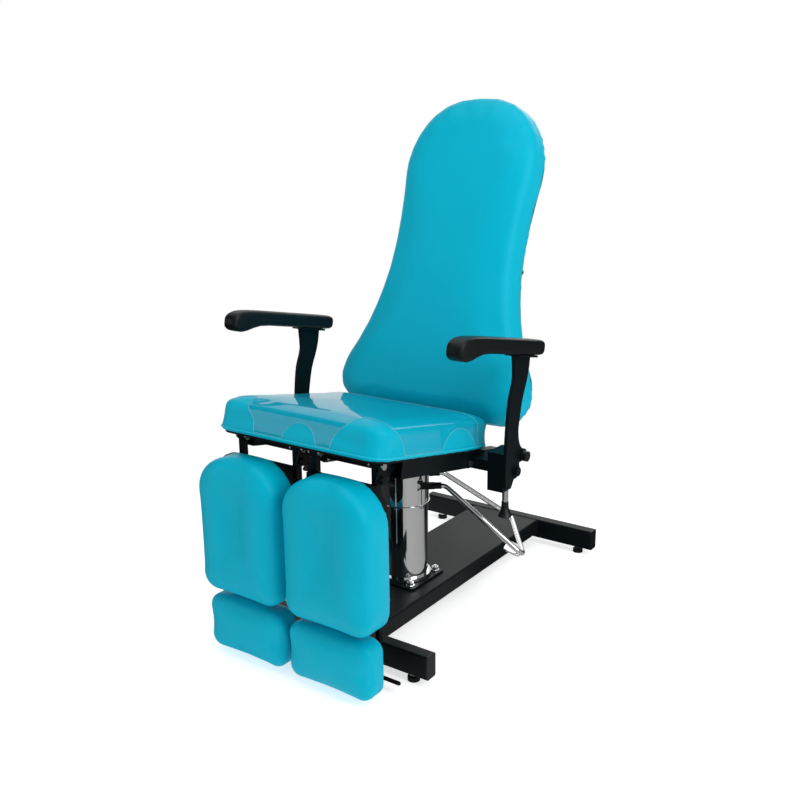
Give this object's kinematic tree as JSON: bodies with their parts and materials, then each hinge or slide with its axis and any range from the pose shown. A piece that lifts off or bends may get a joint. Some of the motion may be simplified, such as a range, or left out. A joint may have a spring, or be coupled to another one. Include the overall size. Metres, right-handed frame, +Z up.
{
  "type": "podiatry chair",
  "caption": "Foot-pumped podiatry chair: turquoise vinyl seat, reclining back, two swinging leg rests with sliding heel pads, fold-back armrests, chrome lifting column on an H base.",
  "frame": {"origin": "on the floor under the middle of the chair's footprint", "axes": "+Z up, the sitter faces -Y, +X towards the sitter's left hand; X is the middle line across"},
  "size_m": [0.72, 1.1064, 1.3507],
  "materials": {
    "powder_coat": "semi-gloss black powder coat",
    "channel_coat": "dark grey fine-textured powder coat",
    "chrome": "mirror plate",
    "zinc": "bright zinc",
    "vinyl": "smooth turquoise vinyl, soft sheen",
    "clear_film": "clear gloss film",
    "black_board": "black faced board",
    "soft_black": "moulded polyurethane, satin",
    "black_plastic": "satin",
    "bush": "plain bearing"
  },
  "bodies": {
    "base": {"front_crossbar": "powder_coat", "rear_crossbar": "powder_coat", "crossbar_caps": "black_plastic", "base_channel": "channel_coat", "base_fasteners": "zinc", "pump_flange": "powder_coat", "pump_body": "chrome", "pump_bush": "bush", "pedal_shaft": "zinc"},
    "foot_front_left": {"foot_front_left": "zinc"},
    "foot_front_right": {"foot_front_right": "zinc"},
    "foot_rear_left": {"foot_rear_left": "zinc"},
    "foot_rear_right": {"foot_rear_right": "zinc"},
    "pedal": {"pedal_arms": "powder_coat", "pedal_loop": "chrome"},
    "lift": {"pump_ram": "chrome", "pump_shroud": "chrome", "seat_frame": "powder_coat", "seat_board": "black_board", "seat_cushion": "vinyl", "seat_cover": "clear_film", "leg_brackets": "powder_coat", "frame_bolts": "zinc", "armrest_brackets": "powder_coat", "gas_spring_tube": "powder_coat"},
    "backrest": {"back_cushion": "vinyl", "back_board": "black_board", "back_arms": "powder_coat", "back_rail": "powder_coat", "back_rail_caps": "black_plastic", "back_screws": "zinc"},
    "gas_rod": {"gas_spring_rod": "zinc"},
    "recline_lever": {"recline_lever": "powder_coat"},
    "leg_link_left": {"leg_link_left": "powder_coat"},
    "leg_left": {"leg_frame_left": "powder_coat", "calf_board_left": "black_board", "calf_pad_left": "vinyl"},
    "heel_left": {"heel_slider_left": "powder_coat", "heel_board_left": "black_board", "heel_pad_left": "vinyl"},
    "heel_knob_left": {"heel_knob_left": "black_plastic"},
    "leg_clamp_left": {"leg_clamp_left": "powder_coat"},
    "arm_left": {"upright_left": "powder_coat", "arm_pad_left": "soft_black"},
    "arm_knob_left": {"arm_knob_left": "black_plastic"},
    "arm_plunger_left": {"arm_plunger_left": "black_plastic"},
    "leg_link_right": {"leg_link_right": "powder_coat"},
    "leg_right": {"leg_frame_right": "powder_coat", "calf_board_right": "black_board", "calf_pad_right": "vinyl"},
    "heel_right": {"heel_slider_right": "powder_coat", "heel_board_right": "black_board", "heel_pad_right": "vinyl"},
    "heel_knob_right": {"heel_knob_right": "black_plastic"},
    "leg_clamp_right": {"leg_clamp_right": "powder_coat"},
    "arm_right": {"upright_right": "powder_coat", "arm_pad_right": "soft_black"},
    "arm_knob_right": {"arm_knob_right": "black_plastic"},
    "arm_plunger_right": {"arm_plunger_right": "black_plastic"}
  },
  "joints": [
    {"name": "foot_front_left_screw", "type": "hinge", "parent": "base", "child": "foot_front_left", "pos_m": [0.25, -0.35829, 0], "axis": [0, 0, 1], "continuous": true},
    {"name": "foot_front_right_screw", "type": "hinge", "parent": "base", "child": "foot_front_right", "pos_m": [-0.25, -0.35829, 0], "axis": [0, 0, 1], "continuous": true},
    {"name": "foot_rear_left_screw", "type": "hinge", "parent": "base", "child": "foot_rear_left", "pos_m": [0.25, 0.53571, 0], "axis": [0, 0, 1], "continuous": true},
    {"name": "foot_rear_right_screw", "type": "hinge", "parent": "base", "child": "foot_rear_right", "pos_m": [-0.25, 0.53571, 0], "axis": [0, 0, 1], "continuous": true},
    {"name": "seat_lift", "type": "slide", "parent": "base", "child": "lift", "axis": [0, 0, 1], "range_m": [-0.01, 0.15]},
    {"name": "pedal_press", "type": "hinge", "parent": "base", "child": "pedal", "pos_m": [0.02924, -0.01828, 0.356], "axis": [-0.5835, 0.8121, 0], "range_deg": [0, 20], "stiffness_Nm_per_rad": 20, "springref_deg": -20.05},
    {"name": "back_recline", "type": "hinge", "parent": "lift", "child": "backrest", "pos_m": [0, 0.02838, 0.44469], "axis": [-1, 0, 0], "range_deg": [0, 65]},
    {"name": "gas_rod_slide", "type": "slide", "parent": "lift", "child": "gas_rod", "axis": [0, -0.9826, 0.1857], "range_m": [0, 0.0545]},
    {"name": "recline_lever_pull", "type": "hinge", "parent": "lift", "child": "recline_lever", "pos_m": [-0.224, 0.00859, 0.41535], "axis": [0, 0.9826, -0.1857], "range_deg": [0, 20], "stiffness_Nm_per_rad": 1.2, "springref_deg": -11.46},
    {"name": "leg_swing_left", "type": "hinge", "parent": "lift", "child": "leg_link_left", "pos_m": [0.1155, -0.42729, 0.543], "axis": [-1, 0, 0], "range_deg": [0, 90]},
    {"name": "leg_extend_left", "type": "slide", "parent": "leg_link_left", "child": "leg_left", "axis": [0, 0, -1], "range_m": [0, 0.06]},
    {"name": "heel_slide_left", "type": "slide", "parent": "leg_left", "child": "heel_left", "axis": [0, 0, -1], "range_m": [0, 0.12]},
    {"name": "heel_knob_turn_left", "type": "hinge", "parent": "leg_left", "child": "heel_knob_left", "pos_m": [0.202, -0.42729, 0.215], "axis": [0, 1, 0], "continuous": true},
    {"name": "leg_clamp_turn_left", "type": "hinge", "parent": "lift", "child": "leg_clamp_left", "pos_m": [0.202, -0.43301, 0.51355], "axis": [1, 0, 0], "range_deg": [-60, 0]},
    {"name": "arm_fold_left", "type": "hinge", "parent": "lift", "child": "arm_left", "pos_m": [0.335, -0.04329, 0.445], "axis": [-1, 0, 0], "range_deg": [0, 100]},
    {"name": "arm_knob_turn_left", "type": "hinge", "parent": "arm_left", "child": "arm_knob_left", "pos_m": [0.347, -0.00929, 0.476], "axis": [1, 0, 0], "continuous": true},
    {"name": "arm_plunger_pull_left", "type": "slide", "parent": "lift", "child": "arm_plunger_left", "axis": [0, 0, -1], "range_m": [0, 0.008], "stiffness_N_per_m": 800, "springref_m": -0.004},
    {"name": "leg_swing_right", "type": "hinge", "parent": "lift", "child": "leg_link_right", "pos_m": [-0.1155, -0.42729, 0.543], "axis": [-1, 0, 0], "range_deg": [0, 90]},
    {"name": "leg_extend_right", "type": "slide", "parent": "leg_link_right", "child": "leg_right", "axis": [0, 0, -1], "range_m": [0, 0.06]},
    {"name": "heel_slide_right", "type": "slide", "parent": "leg_right", "child": "heel_right", "axis": [0, 0, -1], "range_m": [0, 0.12]},
    {"name": "heel_knob_turn_right", "type": "hinge", "parent": "leg_right", "child": "heel_knob_right", "pos_m": [-0.029, -0.42729, 0.215], "axis": [0, 1, 0], "continuous": true},
    {"name": "leg_clamp_turn_right", "type": "hinge", "parent": "lift", "child": "leg_clamp_right", "pos_m": [-0.029, -0.43301, 0.51355], "axis": [1, 0, 0], "range_deg": [-60, 0]},
    {"name": "arm_fold_right", "type": "hinge", "parent": "lift", "child": "arm_right", "pos_m": [-0.335, -0.04329, 0.445], "axis": [-1, 0, 0], "range_deg": [0, 100]},
    {"name": "arm_knob_turn_right", "type": "hinge", "parent": "arm_right", "child": "arm_knob_right", "pos_m": [-0.347, -0.00929, 0.476], "axis": [1, 0, 0], "continuous": true},
    {"name": "arm_plunger_pull_right", "type": "slide", "parent": "lift", "child": "arm_plunger_right", "axis": [0, 0, -1], "range_m": [0, 0.008], "stiffness_N_per_m": 800, "springref_m": -0.004}
  ],
  "couplings": [
    {"joint": "gas_rod_slide", "follows": "back_recline", "m_per_rad": 0.047362},
    {"joint": "leg_extend_left", "follows": "leg_swing_left", "m_per_rad": 0.038147},
    {"joint": "leg_extend_right", "follows": "leg_swing_right", "m_per_rad": 0.038147}
  ]
}
